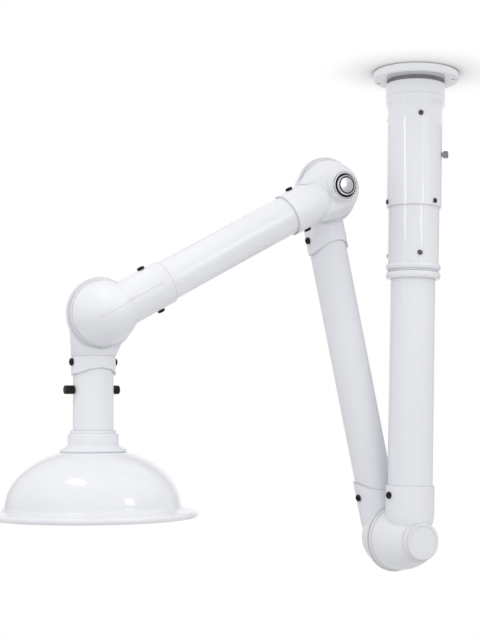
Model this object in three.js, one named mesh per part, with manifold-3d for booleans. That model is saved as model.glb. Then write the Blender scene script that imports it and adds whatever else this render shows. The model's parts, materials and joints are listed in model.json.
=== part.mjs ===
// A ceiling-mounted fume extraction arm: a telescopic ceiling column with a swivel, two jointed tubes with
// friction elbows, and a domed hood with a damper in its neck. Millimetres, +Z up. The origin is the centre
// of the ceiling flange's top face, the arm reaches towards -X and every elbow turns about an axis along Y.
import * as THREE from "three";
import { ConvexGeometry } from "three/addons/geometries/ConvexGeometry.js";
import { mergeVertices } from "three/addons/utils/BufferGeometryUtils.js";
import Module from "manifold-3d";

const wasm = await Module();
wasm.setup();

// Links, at rest
const LOWER_PIVOT_DROP = 934.7;
const MIDDLE_LENGTH = 706.2;
const MIDDLE_LEAN = THREE.MathUtils.degToRad(14.1);
const UPPER_LENGTH = 543.1;
const UPPER_DROP = THREE.MathUtils.degToRad(30.2);
const HOOD_LEAN = THREE.MathUtils.degToRad(1.9);

// Tubes and the sockets that hold them
const COLUMN_RADIUS = 44.5;
const ARM_RADIUS = 37.5;
const TUBE_WALL = 1.5;
const SOCKET_WALL = 3.2;
const SOCKET_REACH = 120;
const SCREW_INSET = 30;
const SCALLOP_DEPTH = 20;
const TUBE_SEAT = 70;

// Clearances, how far a cutting shape passes the face it cuts, and corners that count as one
const SLIP = 0.3;
const OVERCUT = 1;
const WELD_DISTANCE = 1e-4;
const RUNNING_GAP = 0.4;
const MATING_GAP = 2;

// Elbow shells
const SHELL_WALL = 3.2;
const RIM_HEIGHT = 7;
const RIM_STEP = 1;
const FRONT_RIM_RADIUS = 62.5;
const REAR_RIM_RADIUS = 66.5;
const BOWL_RADIUS = 59.5;
const DOME_DEPTH = 74;
const HOOD_DOME_DEPTH = 86;
const PIPE_ROUND_START = 35;
const PIPE_ROUND_LENGTH = 62;

// Bossed elbow halves of the arm
const BOSS_RADIUS = 30;
const BOSS_FACE = 68;
const BOSS_FOOT_RADIUS = 40.5;
const BOSS_FOOT = 52;
const BOSS_PULL_RADIUS = 54;
const BOSS_PULL = 34;
const BOSS_PIPE_ROUND_START = 84;
const BOSS_PIPE_ROUND_LENGTH = 52;
const BOSS_FAIR_STATION = 76;
const BOSS_FAIR_TOP = 58;
const BOSS_EDGE = 1;
const ADJUSTER_SOCKET_REACH = 133;
const HOOD_SOCKET_REACH = 111;
const HOOD_SCREW_INSET = 24;
const HOOD_SCALLOP_DEPTH = 12;

// Bossed lower half, on the column tube
const LOWER_RIM_RADIUS = 64.5;
const LOWER_BOWL_RADIUS = 62;
const LOWER_BOSS_RADIUS = 36.5;
const LOWER_BOSS_FACE = 94;
const LOWER_BOSS_FOOT_RADIUS = 41;
const LOWER_BOSS_FOOT = 84;
const LOWER_BOSS_DEPTH = 24;
const LOWER_PIPE_ROUND_START = 51;
const LOWER_PIPE_ROUND_LENGTH = 52;
const LOWER_SOCKET_REACH = 107;
const LOWER_SCREW_INSET = 20;

// Pivots
const BOLT_RADIUS = 6;
const BOLT_HEAD_RADIUS = 11;
const BOLT_HEAD_HEIGHT = 7.5;
const HUB_RADIUS = 15;
const HUB_HEIGHT = 24;
const RIB_WIDTH = 5;
const RIB_HEIGHT = 14;
const RIB_COUNT = 3;
const BOSS_FLOOR = 4;
const RECESS_RADIUS = 18.5;
const SPRING_RADIUS = 15;
const SPRING_THICKNESS = 1.6;
const SPRING_RISE = 1.6;
const NUT_HEIGHT = 8;
const BOLT_TIP = 1.5;
const SEAL_INNER_RADIUS = 57;
const SEAL_OUTER_RADIUS = 61;

// Caps over the pivots
const CAP_THICKNESS = 3;
const CAP_RIM_WIDTH = 6;
const CAP_RIM_HEIGHT = 1;
const CAP_SPIGOT_WALL = 2.5;
const CAP_SPIGOT_LENGTH = 3;

// Friction adjuster of the upper elbow
const BEZEL_RADIUS = 26.2;
const BEZEL_LIP = 4;
const BEZEL_SEAT_DEPTH = 6;
const BEZEL_FLOOR = 2;
const BEZEL_PROUD = 2;
const KNOB_STEM_RADIUS = 18;
const KNOB_RADIUS = 21;
const KNOB_TOP_RADIUS = 19.4;
const KNOB_PROUD = 6.5;
const KNOB_RIM = 2.2;
const KNOB_GROOVE = 2.6;
const KNOB_GROOVE_DEPTH = 1.6;
const KNOB_CROWN = 0.8;

// Black socket screws of the elbows
const SCREW_HEAD_RADIUS = 7;
const SCREW_HEAD_HEIGHT = 4.6;
const SCREW_SHANK_RADIUS = 2.8;
const SCREW_KEY_RADIUS = 2.9;
const SCREW_KEY_DEPTH = 2.4;
const SCREW_INSIDE = 4;
const HEAD_EDGE = 0.45;
const HEAD_TOP = 0.68;

// Ceiling flange and gasket
const FLANGE_RADIUS = 85.5;
const FLANGE_THICKNESS = 17;
const FLANGE_EDGE = 2;
const FLANGE_BORE = 45;
const FLANGE_HOLE_RADIUS = 4.5;
const FLANGE_HOLE_CIRCLE = 75;
const FLANGE_HOLES = 4;
const GASKET_HEIGHT = 8;
const GASKET_RADIUS = 58;

// Telescopic sleeves
const OUTER_SLEEVE_RADIUS = 55;
const OUTER_SLEEVE_END = 275;
const SLEEVE_WALL = 3.6;
const BELL_RADIUS = 60;
const BELL_STEP = 0.8;
const BELL_STEP_DROP = 26;
const BELL_DROP = 41;
const BELL_TAPER = 11;
const INNER_SLEEVE_TOP = 84;
const INNER_SLEEVE_WALL = 2.6;
const RING_RADIUS = 55;
const UPPER_RING_TOP = 389;
const UPPER_RING_HEIGHT = 13;
const NECK_HEIGHT = 3.5;
const LOWER_RING_HEIGHT = 14.5;
const RING_ROUND = 4;
const NECK_RADIUS = 51;
const BEARING_LENGTH = 60;
const RETAINER_HEIGHT = 8;
const COLUMN_ABOVE_RETAINER = 6;

// Steel screws of the sleeves
const STEEL_HEAD_RADIUS = 5;
const STEEL_HEAD_HEIGHT = 2.6;
const STEEL_SHANK_RADIUS = 2.4;
const STEEL_KEY_RADIUS = 2.1;
const STEEL_KEY_DEPTH = 1.6;
const TOP_SCREW_INSET = 9;
const CLAMP_SCREW_INSET = 9;
const INNER_SCREW_RISE = 18;
const TOP_SCREW_TURN = THREE.MathUtils.degToRad(248);
const CLAMP_SCREW_TURN = THREE.MathUtils.degToRad(284);
const INNER_SCREW_TURN = THREE.MathUtils.degToRad(251);
const SLEEVE_SCREWS = 3;
const SIDE_BOLT_DROP = 169;
const SIDE_BOLT_TURN = THREE.MathUtils.degToRad(317);
const SIDE_BOLT_RADIUS = 7.5;
const SIDE_BOLT_LENGTH = 12;
const SIDE_BOLT_NECK = 3;
const SIDE_BOLT_NECK_RADIUS = 5;
const SIDE_BOLT_EDGE = 1.5;

// Hood, measured down its own axis from the hood pivot
const COLLAR_TOP = 212;
const COLLAR_LIP_RADIUS = 42.5;
const COLLAR_LIP_HEIGHT = 6;
const COLLAR_RADIUS = 47;
const COLLAR_FLANGE_TOP = 241;
const COLLAR_FLANGE_RADIUS = 61.5;
const COLLAR_FLANGE_HEIGHT = 11;
const COLLAR_ROUND = 3;
const COLLAR_SEAT = 236;
const SPIGOT_RADIUS = 49.5;
const SPIGOT_LENGTH = 8;
const HOOD_RADIUS = 161;
const HOOD_CENTRE = 352;
const HOOD_HEIGHT = 108.5;
const HOOD_WALL = 3;
const LIP_RADIUS = 192.5;
const LIP_BOTTOM = 371.5;
const BEAD_RADIUS = 6;
const LIP_ROUND = 9;
const LIP_LEAN = 1;

// Damper in the hood tube
const DAMPER_STATION = 138;
const DAMPER_CLEARANCE = 1.2;
const DAMPER_THICKNESS = 2;
const DAMPER_BARREL_RADIUS = 5;
const DAMPER_BARREL_INSET = 4.8;
const DAMPER_SHAFT_RADIUS = 3;
const DAMPER_KNOB_RADIUS = 8;
const DAMPER_KNOB_WALL = 5;
const DAMPER_HANDLE_LENGTH = 18;
const DAMPER_END_LENGTH = 12;
const DAMPER_KNOB_EDGE = 1.5;

// Facets
const ROUND_SIDES = 24;
const BOWL_SIDES = 28;
const HOOD_SIDES = 48;
const INSIDE_SIDES = 16;
const PIN_SIDES = 12;
const SCREW_SIDES = 8;
const HEX_SIDES = 6;
const DOME_STEPS = 7;
const BOSS_STEPS = 5;
const PIPE_STEPS = 5;
const ARC_STEPS = 3;
const INSIDE_STEPS = 3;

// Sizes that follow from the ones above
const ARM_SOCKET = ARM_RADIUS + SLIP + SOCKET_WALL;
const COLUMN_SOCKET = COLUMN_RADIUS + SLIP + SOCKET_WALL;
const HALF_GAP = MATING_GAP / 2;
const ARM_OFFSET = ARM_SOCKET + HALF_GAP;
const COLUMN_OFFSET = COLUMN_SOCKET + HALF_GAP;
const RIM_TOP = HALF_GAP + RIM_HEIGHT;
const FLANGE_BOTTOM = -FLANGE_THICKNESS;
const SLEEVE_TOP = FLANGE_BOTTOM - GASKET_HEIGHT - SLIP;
const OUTER_SLEEVE_BORE = OUTER_SLEEVE_RADIUS - SLEEVE_WALL;
const INNER_SLEEVE_RADIUS = OUTER_SLEEVE_BORE - SLIP;
const INNER_SLEEVE_BORE = INNER_SLEEVE_RADIUS - INNER_SLEEVE_WALL;
const UPPER_RING_BOTTOM = UPPER_RING_TOP + UPPER_RING_HEIGHT;
const NECK_BOTTOM = UPPER_RING_BOTTOM + NECK_HEIGHT;
const BEARING_TOP = UPPER_RING_BOTTOM - BEARING_LENGTH;
const TOP_SCREW_DROP = INNER_SLEEVE_TOP + TOP_SCREW_INSET;
const CLAMP_SCREW_DROP = OUTER_SLEEVE_END - CLAMP_SCREW_INSET;
const INNER_SCREW_DROP = UPPER_RING_TOP - INNER_SCREW_RISE;

// Points of a bend from one point to another, pulled towards a third
function bend(start, pull, end, steps = ARC_STEPS) {
  const [a, b, c] = [start, pull, end].map(([r, z]) => new THREE.Vector2(r, z));
  return new THREE.QuadraticBezierCurve(a, b, c).getPoints(steps).map((p) => [p.x, p.y]);
}

// Points of a quarter of an ellipse, or of another stretch of it
function arc(centreR, centreZ, radiusR, radiusZ, from, to, steps = ARC_STEPS) {
  const points = [];
  for (let i = 0; i <= steps; i++) {
    const angle = from + ((to - from) * i) / steps;
    points.push([centreR + radiusR * Math.cos(angle), centreZ + radiusZ * Math.sin(angle)]);
  }
  return points;
}

// A closed outline of radius and height, turned about Z
function turned(outline, sides = ROUND_SIDES) {
  const closed = outline[0][0] === 0 ? outline : [...outline, outline[0]];
  const points = closed.map(([r, z]) => new THREE.Vector2(r, z));
  return new THREE.LatheGeometry(points, sides).rotateX(Math.PI / 2);
}

function rod(radius, bottom, top, sides = ROUND_SIDES) {
  return turned([[0, bottom], [radius, bottom], [radius, top], [0, top]], sides);
}

function ring(inner, outer, bottom, top, sides = ROUND_SIDES) {
  return turned([[inner, bottom], [outer, bottom], [outer, top], [inner, top]], sides);
}

function block(from, to) {
  const size = to.map((value, axis) => value - from[axis]);
  const middle = to.map((value, axis) => (value + from[axis]) / 2);
  return new THREE.BoxGeometry(...size).translate(...middle);
}

// Turns that lay a shape made about Z along another axis
const alongX = (geometry) => geometry.rotateY(Math.PI / 2);
const alongY = (geometry) => geometry.rotateX(-Math.PI / 2);

// A closed three.js geometry as a solid with its faces outwards
function solid(geometry) {
  const bare = geometry.index ? geometry.toNonIndexed() : geometry.clone();
  bare.deleteAttribute("normal");
  bare.deleteAttribute("uv");
  const merged = mergeVertices(bare, WELD_DISTANCE);
  const place = merged.attributes.position;
  const corners = [new THREE.Vector3(), new THREE.Vector3(), new THREE.Vector3()];
  const faces = [];
  let volume = 0;
  for (let i = 0; i < merged.index.count; i += 3) {
    const face = [0, 1, 2].map((k) => merged.index.getX(i + k));
    if (new Set(face).size < 3) continue;
    face.forEach((vertex, k) => corners[k].fromBufferAttribute(place, vertex));
    volume += corners[0].dot(corners[1].clone().cross(corners[2]));
    faces.push(face);
  }
  const outward = volume > 0 ? faces : faces.map(([a, b, c]) => [a, c, b]);
  const triVerts = new Uint32Array(outward.flat());
  return new wasm.Manifold(new wasm.Mesh({ numProp: 3, vertProperties: place.array, triVerts }));
}

const join = (...shapes) => shapes.map(solid).reduce((whole, next) => whole.add(next));
const cut = (whole, ...tools) => tools.map(solid).reduce((rest, tool) => rest.subtract(tool), whole);

// A solid as a named mesh of its own colour
function piece(name, shape, look) {
  const found = shape.getMesh();
  const geometry = new THREE.BufferGeometry();
  geometry.setAttribute("position", new THREE.BufferAttribute(found.vertProperties, 3));
  geometry.setIndex(new THREE.BufferAttribute(found.triVerts, 1));
  const mesh = new THREE.Mesh(geometry, new THREE.MeshStandardMaterial(look));
  mesh.name = name;
  return mesh;
}

// Finishes
const WHITE = { color: 0xe9eaee, roughness: 0.25, metalness: 0 };
const WHITE_PAINT = { color: 0xe6e7ec, roughness: 0.18, metalness: 0 };
const BLACK = { color: 0x141416, roughness: 0.45, metalness: 0 };
const STEEL = { color: 0xa9adb3, roughness: 0.3, metalness: 1 };
const CHROME = { color: 0xd8dadd, roughness: 0.08, metalness: 1 };
const RUBBER = { color: 0x4a4b4f, roughness: 0.8, metalness: 0 };

// A group whose X and Z axes point where they are told
function frameAt(origin, xAxis, zAxis) {
  const yAxis = zAxis.clone().cross(xAxis);
  const group = new THREE.Group();
  group.quaternion.setFromRotationMatrix(new THREE.Matrix4().makeBasis(xAxis, yAxis, zAxis));
  group.position.copy(origin);
  return group;
}

// A button-head screw with a hexagon key hole. Its head stands on z = 0 and its shank points to -Z.
function socketScrew(headRadius, headHeight, shankRadius, keyRadius, keyDepth, reach) {
  const body = turned(
    [
      [0, -reach],
      [shankRadius, -reach],
      [shankRadius, 0],
      [headRadius, 0],
      [headRadius, headHeight * HEAD_EDGE],
      [headRadius * HEAD_TOP, headHeight],
      [0, headHeight],
    ],
    SCREW_SIDES,
  );
  const key = rod(keyRadius, headHeight - keyDepth, headHeight + OVERCUT, HEX_SIDES);
  return cut(solid(body), key);
}

// The pipe of an elbow half along +X: a round inner end, then straight to its open end
function pipe(radius, tip, roundStart, end, offset, sides = ROUND_SIDES, steps = PIPE_STEPS) {
  const points = [];
  for (let i = 0; i <= steps; i++) {
    const angle = ((Math.PI / 2) * i) / steps;
    points.push([radius * Math.sin(angle), roundStart - (roundStart - tip) * Math.cos(angle)]);
  }
  points[0][0] = 0;
  return alongX(turned([...points, [radius, end], [0, end]], sides)).translate(0, 0, offset);
}

// The outside of a plain half: a rim and a dome
function domeOutline(half) {
  const top = arc(0, RIM_TOP, half.bowl, half.depth, 0, Math.PI / 2, DOME_STEPS);
  top[DOME_STEPS][0] = 0;
  return [
    [0, HALF_GAP],
    [half.rim, HALF_GAP],
    [half.rim, RIM_TOP - RIM_STEP],
    [half.rim - RIM_STEP, RIM_TOP],
    ...top,
  ];
}

// The side of a bossed half, from its rim to the foot of its boss
function bossSide(half) {
  return bend([half.bowl, RIM_TOP], half.pull, [half.footRadius, half.foot], BOSS_STEPS);
}

// The rim of a bossed half
function rimOutline(half) {
  return [
    [0, HALF_GAP],
    [half.rim, HALF_GAP],
    [half.rim, RIM_TOP - RIM_STEP],
    [half.rim - RIM_STEP, RIM_TOP],
    [0, RIM_TOP],
  ];
}

// The boss that stands out of a bowl on a hollow curve
function bossOutline(half) {
  const start = [half.footRadius - BOSS_EDGE, half.foot - BOSS_EDGE];
  return [
    [0, RIM_TOP],
    [half.bossRadius, RIM_TOP],
    ...bend(start, half.flarePull, [half.bossRadius, half.flareTop]),
    [half.bossRadius, half.face - BOSS_EDGE],
    [half.bossRadius - BOSS_EDGE, half.face],
    [0, half.face],
  ];
}

// A smooth hull round circles about Z and, up to a height, the circle where the pipe starts
function fairing(circles, radius, station, offset, top, sides) {
  const points = [];
  const onPipe = (y, z) => points.push(new THREE.Vector3(station, y, z));
  for (let i = 0; i < sides; i++) {
    const angle = (2 * Math.PI * i) / sides;
    const [across, along] = [Math.cos(angle), Math.sin(angle)];
    circles.forEach(([r, z]) => points.push(new THREE.Vector3(r * across, r * along, z)));
    const height = offset + radius * across;
    if (height <= top) onPipe(radius * along, height);
  }
  if (Math.abs(top - offset) < radius) {
    const edge = Math.sqrt(radius ** 2 - (top - offset) ** 2);
    onPipe(edge, top);
    onPipe(-edge, top);
  }
  return new ConvexGeometry(points);
}

// The air space inside a plain half
function domeSpace(half) {
  const radius = half.bowl - SHELL_WALL;
  const top = arc(0, RIM_TOP, radius, half.depth - SHELL_WALL, 0, Math.PI / 2, INSIDE_STEPS);
  top[INSIDE_STEPS][0] = 0;
  return turned([[0, 0], [radius, 0], ...top], INSIDE_SIDES);
}

// The air space inside a bossed half, up to the block that carries the boss
function bossSpace(half) {
  const radius = half.bowl - SHELL_WALL;
  const pull = [half.pull[0] - SHELL_WALL, (half.pull[1] * half.ceiling) / half.foot];
  const side = bend([radius, RIM_TOP], pull, [half.footRadius - SHELL_WALL, half.ceiling], INSIDE_STEPS);
  const bore = half.tube - TUBE_WALL;
  const top = Math.min(half.ceiling, half.fairTop);
  return fairing([[radius, 0], ...side], bore, half.fairStation, half.offset, top, INSIDE_SIDES);
}

// The air space inside a half's pipe
function pipeSpace(half, tip, roundStart) {
  const bore = half.tube - TUBE_WALL;
  return pipe(bore, tip, roundStart, half.reach, half.offset, INSIDE_SIDES, INSIDE_STEPS);
}

// Where the screws of a half's socket stand along its pipe
const screwStation = (half) => half.reach - half.screwInset;

// Cuts that every half has: the tube's seat, the screw holes, and the hollow in the socket's end that
// lets the other half swing past
function socketCuts(half) {
  const seat = rod(half.tube + SLIP, TUBE_SEAT, half.reach + OVERCUT);
  const hole = rod(SCREW_SHANK_RADIUS + SLIP, -half.socket - OVERCUT, half.socket + OVERCUT, SCREW_SIDES);
  const tools = [
    alongX(seat).translate(0, 0, half.offset),
    alongY(hole).translate(screwStation(half), 0, half.offset),
  ];
  if (half.scallop > 0) {
    const radius = (half.socket ** 2 + half.scallop ** 2) / (2 * half.scallop);
    const scallop = rod(radius, HALF_GAP - OVERCUT, half.offset);
    tools.push(scallop.translate(half.reach + radius - half.scallop, 0, 0));
  }
  return tools;
}

// A plain half: a dome, the pipe, and a hub on ribs that takes the pivot bolt
function plainHalf(half) {
  const roundTip = PIPE_ROUND_START - PIPE_ROUND_LENGTH;
  const outside = join(
    turned(domeOutline(half), BOWL_SIDES),
    pipe(half.socket, roundTip, PIPE_ROUND_START, half.reach, half.offset),
  );
  const space = join(domeSpace(half), pipeSpace(half, roundTip + SHELL_WALL, PIPE_ROUND_START));
  const ribs = [];
  for (let i = 0; i < RIB_COUNT; i++) {
    const rib = block(
      [0, -RIB_WIDTH / 2, HALF_GAP + RIM_STEP],
      [half.bowl - SHELL_WALL / 2, RIB_WIDTH / 2, HALF_GAP + RIM_STEP + RIB_HEIGHT],
    );
    ribs.push(rib.rotateZ(Math.PI + (2 * Math.PI * i) / RIB_COUNT));
  }
  const hub = join(rod(HUB_RADIUS, HALF_GAP, HUB_HEIGHT, INSIDE_SIDES), ...ribs);
  const shell = outside.subtract(space).add(hub);
  return cut(shell, rod(BOLT_RADIUS + SLIP, 0, HUB_HEIGHT + OVERCUT, PIN_SIDES), ...socketCuts(half));
}

// A bossed half: a bowl that narrows to a boss and runs into the pipe, and a hub that takes the bolt, its
// spring and its nut
function bossedHalf(half) {
  const roundTip = half.roundStart - half.roundLength;
  const circles = [[half.bowl, HALF_GAP], ...bossSide(half)];
  const outside = join(
    turned(rimOutline(half), BOWL_SIDES),
    fairing(circles, half.socket, half.fairStation, half.offset, half.fairTop, BOWL_SIDES),
    turned(bossOutline(half), BOWL_SIDES),
    pipe(half.socket, roundTip, half.roundStart, half.reach, half.offset, BOWL_SIDES),
  );
  const space = join(bossSpace(half), pipeSpace(half, roundTip + SHELL_WALL, half.roundStart));
  const coreOutline = [
    [0, HALF_GAP],
    [HUB_RADIUS, HALF_GAP],
    [HUB_RADIUS, half.ceiling - BOSS_FLOOR],
    [RECESS_RADIUS + BOSS_FLOOR, half.ceiling],
    [RECESS_RADIUS + BOSS_FLOOR, half.face - BOSS_EDGE],
    [0, half.face - BOSS_EDGE],
  ];
  const core = turned(coreOutline, INSIDE_SIDES);
  const shell = outside.subtract(space).add(solid(core));
  const tools = [
    rod(BOLT_RADIUS + SLIP, 0, half.face, PIN_SIDES),
    rod(RECESS_RADIUS, half.ceiling + BOSS_FLOOR, half.face + OVERCUT),
    rod(half.bossRadius + SLIP, half.face, half.face + CAP_THICKNESS + OVERCUT),
    ...socketCuts(half),
  ];
  if (half.bezel) {
    tools.push(rod(BEZEL_RADIUS + SLIP, half.face - BEZEL_SEAT_DEPTH, half.face + OVERCUT));
  }
  return cut(shell, ...tools);
}

// The kinds of elbow half
const armSocket = {
  tube: ARM_RADIUS,
  socket: ARM_SOCKET,
  offset: ARM_OFFSET,
  reach: SOCKET_REACH,
  screwInset: SCREW_INSET,
  scallop: SCALLOP_DEPTH,
};
const plain = { ...armSocket, bowl: BOWL_RADIUS, rim: REAR_RIM_RADIUS, depth: DOME_DEPTH };
const hoodDome = { ...plain, rim: FRONT_RIM_RADIUS, depth: HOOD_DOME_DEPTH };
const bossed = {
  ...armSocket,
  bowl: BOWL_RADIUS,
  rim: REAR_RIM_RADIUS,
  footRadius: BOSS_FOOT_RADIUS,
  foot: BOSS_FOOT,
  pull: [BOSS_PULL_RADIUS, BOSS_PULL],
  fairStation: BOSS_FAIR_STATION,
  fairTop: BOSS_FAIR_TOP,
  bossRadius: BOSS_RADIUS,
  face: BOSS_FACE,
  flarePull: [BOSS_RADIUS + BOSS_EDGE, BOSS_FOOT + BOSS_FLOOR],
  flareTop: BOSS_FACE - BEZEL_SEAT_DEPTH,
  ceiling: BOSS_FOOT - BOSS_FLOOR,
  roundStart: BOSS_PIPE_ROUND_START,
  roundLength: BOSS_PIPE_ROUND_LENGTH,
};
const adjusterHalf = { ...bossed, rim: FRONT_RIM_RADIUS, reach: ADJUSTER_SOCKET_REACH, bezel: true };
const hoodBossed = {
  ...bossed,
  reach: HOOD_SOCKET_REACH,
  screwInset: HOOD_SCREW_INSET,
  scallop: HOOD_SCALLOP_DEPTH,
};
const lowerBossed = {
  tube: COLUMN_RADIUS,
  socket: COLUMN_SOCKET,
  offset: COLUMN_OFFSET,
  reach: LOWER_SOCKET_REACH,
  screwInset: LOWER_SCREW_INSET,
  scallop: 0,
  bowl: LOWER_BOWL_RADIUS,
  rim: LOWER_RIM_RADIUS,
  footRadius: LOWER_BOSS_FOOT_RADIUS,
  foot: LOWER_BOSS_FOOT,
  pull: [LOWER_BOWL_RADIUS, COLUMN_OFFSET],
  fairStation: LOWER_PIPE_ROUND_START,
  fairTop: 0,
  bossRadius: LOWER_BOSS_RADIUS,
  face: LOWER_BOSS_FACE,
  flarePull: [LOWER_BOSS_RADIUS, LOWER_BOSS_FOOT],
  flareTop: LOWER_BOSS_FACE - BOSS_FLOOR,
  ceiling: LOWER_BOSS_FACE - LOWER_BOSS_DEPTH,
  roundStart: LOWER_PIPE_ROUND_START,
  roundLength: LOWER_PIPE_ROUND_LENGTH,
};

// Pivot stack of a bossed half, in its own frame: heights above the middle of the joint
function stackOf(half) {
  const floor = half.ceiling + BOSS_FLOOR;
  const spring = floor + SLIP;
  const nut = spring + SPRING_THICKNESS + SPRING_RISE + SLIP;
  return { spring, nut };
}

function pivotBolt(tip) {
  const seat = -HUB_HEIGHT - SLIP;
  const head = rod(BOLT_HEAD_RADIUS, seat - BOLT_HEAD_HEIGHT, seat, HEX_SIDES);
  const shank = rod(BOLT_RADIUS, seat - BOLT_HEAD_HEIGHT / 2, tip, PIN_SIDES);
  return join(head, shank);
}

function discSpring(bottom) {
  const inner = BOLT_RADIUS + 2 * SLIP;
  const outline = [
    [inner, bottom + SPRING_RISE],
    [SPRING_RADIUS, bottom],
    [SPRING_RADIUS, bottom + SPRING_THICKNESS],
    [inner, bottom + SPRING_RISE + SPRING_THICKNESS],
  ];
  return solid(turned(outline, PIN_SIDES));
}

function hexNut(bottom) {
  const top = bottom + NUT_HEIGHT;
  const prism = rod(BOLT_HEAD_RADIUS, bottom, top, HEX_SIDES);
  return cut(solid(prism), rod(BOLT_RADIUS + SLIP, bottom - OVERCUT, top + OVERCUT, PIN_SIDES));
}

// A round cap with a raised rim, held by a spigot in the boss's recess
function pivotCap(radius, face) {
  const bottom = face + SLIP;
  const top = bottom + CAP_THICKNESS;
  const spigot = RECESS_RADIUS - SLIP;
  return solid(
    turned(
      [
        [0, bottom],
        [spigot - CAP_SPIGOT_WALL, bottom],
        [spigot - CAP_SPIGOT_WALL, bottom - CAP_SPIGOT_LENGTH],
        [spigot, bottom - CAP_SPIGOT_LENGTH],
        [spigot, bottom],
        [radius, bottom],
        [radius, top - CAP_RIM_HEIGHT],
        [radius - CAP_RIM_HEIGHT, top],
        [radius - CAP_RIM_WIDTH, top],
        [radius - CAP_RIM_WIDTH - CAP_RIM_HEIGHT, top - CAP_RIM_HEIGHT],
        [0, top - CAP_RIM_HEIGHT / 2],
      ],
    ),
  );
}

// The chrome cup that lines the adjuster's seat, with a rounded lip
function adjusterBezel() {
  const floor = BOSS_FACE - BEZEL_SEAT_DEPTH + SLIP;
  const bore = KNOB_STEM_RADIUS + SLIP + RUNNING_GAP;
  const lip = BEZEL_RADIUS - BEZEL_LIP;
  const crown = BOSS_FACE + BEZEL_PROUD - BEZEL_LIP / 2;
  return solid(
    turned(
      [
        [bore, floor],
        [BEZEL_RADIUS, floor],
        ...arc(BEZEL_RADIUS - BEZEL_LIP / 2, crown, BEZEL_LIP / 2, BEZEL_LIP / 2, 0, Math.PI),
        [lip, floor + BEZEL_FLOOR],
        [bore, floor + BEZEL_FLOOR],
      ],
    ),
  );
}

// The chrome friction knob: a round nut on a stem, with a rounded rim and a groove round its crowned face
function adjusterKnob(bottom) {
  const shoulder = BOSS_FACE - BEZEL_SEAT_DEPTH + SLIP + BEZEL_FLOOR + RUNNING_GAP;
  const top = BOSS_FACE + KNOB_PROUD;
  const round = KNOB_RIM / 2;
  const groove = top - KNOB_GROOVE_DEPTH;
  const face = KNOB_TOP_RADIUS - KNOB_RIM - KNOB_GROOVE;
  const body = turned(
    [
      [0, bottom],
      [KNOB_STEM_RADIUS, bottom],
      [KNOB_STEM_RADIUS, shoulder],
      [KNOB_RADIUS, shoulder],
      [KNOB_RADIUS, BOSS_FACE + BEZEL_PROUD],
      ...arc(KNOB_TOP_RADIUS - round, top - round, round, round, 0, Math.PI),
      [KNOB_TOP_RADIUS - KNOB_RIM, groove],
      [face, groove],
      [face, top],
      [0, top + KNOB_CROWN],
    ],
  );
  const thread = rod(BOLT_RADIUS + SLIP, bottom - OVERCUT, bottom + NUT_HEIGHT, PIN_SIDES);
  return cut(solid(body), thread);
}

function sealRing() {
  return solid(ring(SEAL_INNER_RADIUS, SEAL_OUTER_RADIUS, -HALF_GAP + SLIP, HALF_GAP - SLIP));
}

// A tube along +X with a cross hole for screws at each end that a socket holds
function socketTube(radius, from, to, stations) {
  const tools = stations.map((station) => {
    const hole = rod(SCREW_SHANK_RADIUS + SLIP, -radius - OVERCUT, radius + OVERCUT, SCREW_SIDES);
    return alongY(hole).translate(station, 0, 0);
  });
  return cut(solid(alongX(ring(radius - TUBE_WALL, radius, from, to))), ...tools);
}

// Places of the pivots and the planes of the tubes
const middleWay = new THREE.Vector3(-Math.sin(MIDDLE_LEAN), 0, Math.cos(MIDDLE_LEAN));
const upperWay = new THREE.Vector3(-Math.cos(UPPER_DROP), 0, -Math.sin(UPPER_DROP));
const hoodWay = new THREE.Vector3(Math.sin(HOOD_LEAN), 0, -Math.cos(HOOD_LEAN));
const UP = new THREE.Vector3(0, 0, 1);
const FRONT = new THREE.Vector3(0, -1, 0);
const BACK = new THREE.Vector3(0, 1, 0);
const lowerPivot = new THREE.Vector3(0, COLUMN_OFFSET, -LOWER_PIVOT_DROP);
const upperPivot = lowerPivot.clone().addScaledVector(middleWay, MIDDLE_LENGTH);
const hoodPivot = upperPivot.clone().addScaledVector(upperWay, UPPER_LENGTH);

const arm = new THREE.Group();

// Adds an elbow half and the two black screws in its socket
function addHalf(name, half, pivot, way, outward, shape) {
  const group = frameAt(pivot, way, outward);
  group.add(piece(name, shape, WHITE));
  const seat = half.socket + SLIP;
  const reach = seat - (half.tube - TUBE_WALL) + SCREW_INSIDE;
  [Math.PI / 2, -Math.PI / 2].forEach((turn, index) => {
    const screw = socketScrew(
      SCREW_HEAD_RADIUS,
      SCREW_HEAD_HEIGHT,
      SCREW_SHANK_RADIUS,
      SCREW_KEY_RADIUS,
      SCREW_KEY_DEPTH,
      reach,
    );
    const mesh = piece(`${name}_screw_${index + 1}`, screw, BLACK);
    mesh.rotation.x = -turn;
    mesh.position.set(screwStation(half), index === 0 ? seat : -seat, half.offset);
    group.add(mesh);
  });
  arm.add(group);
  return group;
}

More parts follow.
